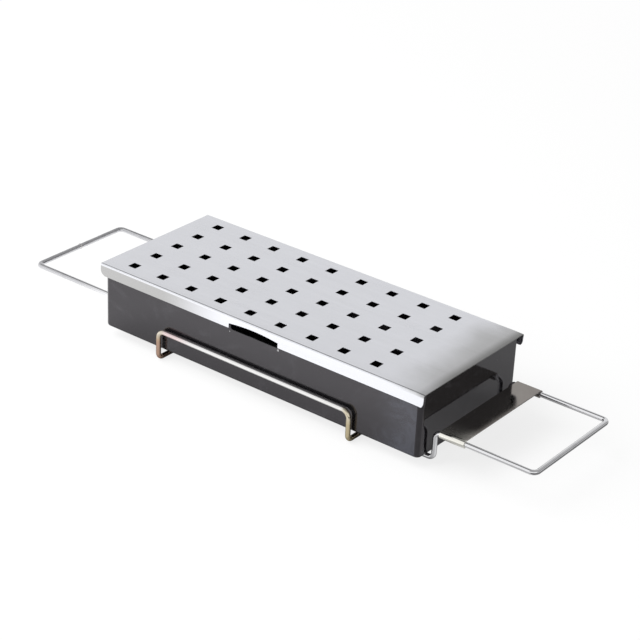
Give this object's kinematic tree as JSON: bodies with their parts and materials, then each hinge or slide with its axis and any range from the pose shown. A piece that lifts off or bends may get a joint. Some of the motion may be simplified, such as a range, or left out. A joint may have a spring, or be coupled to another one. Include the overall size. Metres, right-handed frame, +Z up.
{
  "type": "grill smoker box",
  "caption": "Grill smoker box: perforated steel lid on a black enamelled chip tray, carried in a welded wire cradle with end handles and side guards.",
  "frame": {"origin": "on the ground plane under the middle of the box, midway between the handles and between the guards", "axes": "+X along the box towards the handle with the grip plate, +Y towards the rear guard, +Z up"},
  "size_m": [0.4327, 0.1202, 0.0557],
  "materials": {
    "lid_steel": "satin stainless sheet, fine grain along the lid",
    "enamel": "glossy black vitreous enamel",
    "ring_wire": "bright chromed wire",
    "guard_wire": "bright wire with a straw and copper heat tint",
    "plate_steel": "polished stainless sheet",
    "weld": "dull weld metal"
  },
  "bodies": {
    "cradle": {"handle_ring": "ring_wire", "guard_ring": "guard_wire", "grip_plate": "plate_steel", "cross_welds": "weld", "butt_welds": "weld"},
    "tray": {"tray": "enamel"},
    "lid": {"lid": "lid_steel"}
  },
  "joints": [
    {"name": "tray_lift", "type": "slide", "parent": "cradle", "child": "tray", "axis": [0, 0, 1], "range_m": [0, 0.06]},
    {"name": "lid_lift", "type": "slide", "parent": "tray", "child": "lid", "axis": [0, 0, 1], "range_m": [0, 0.06]}
  ]
}
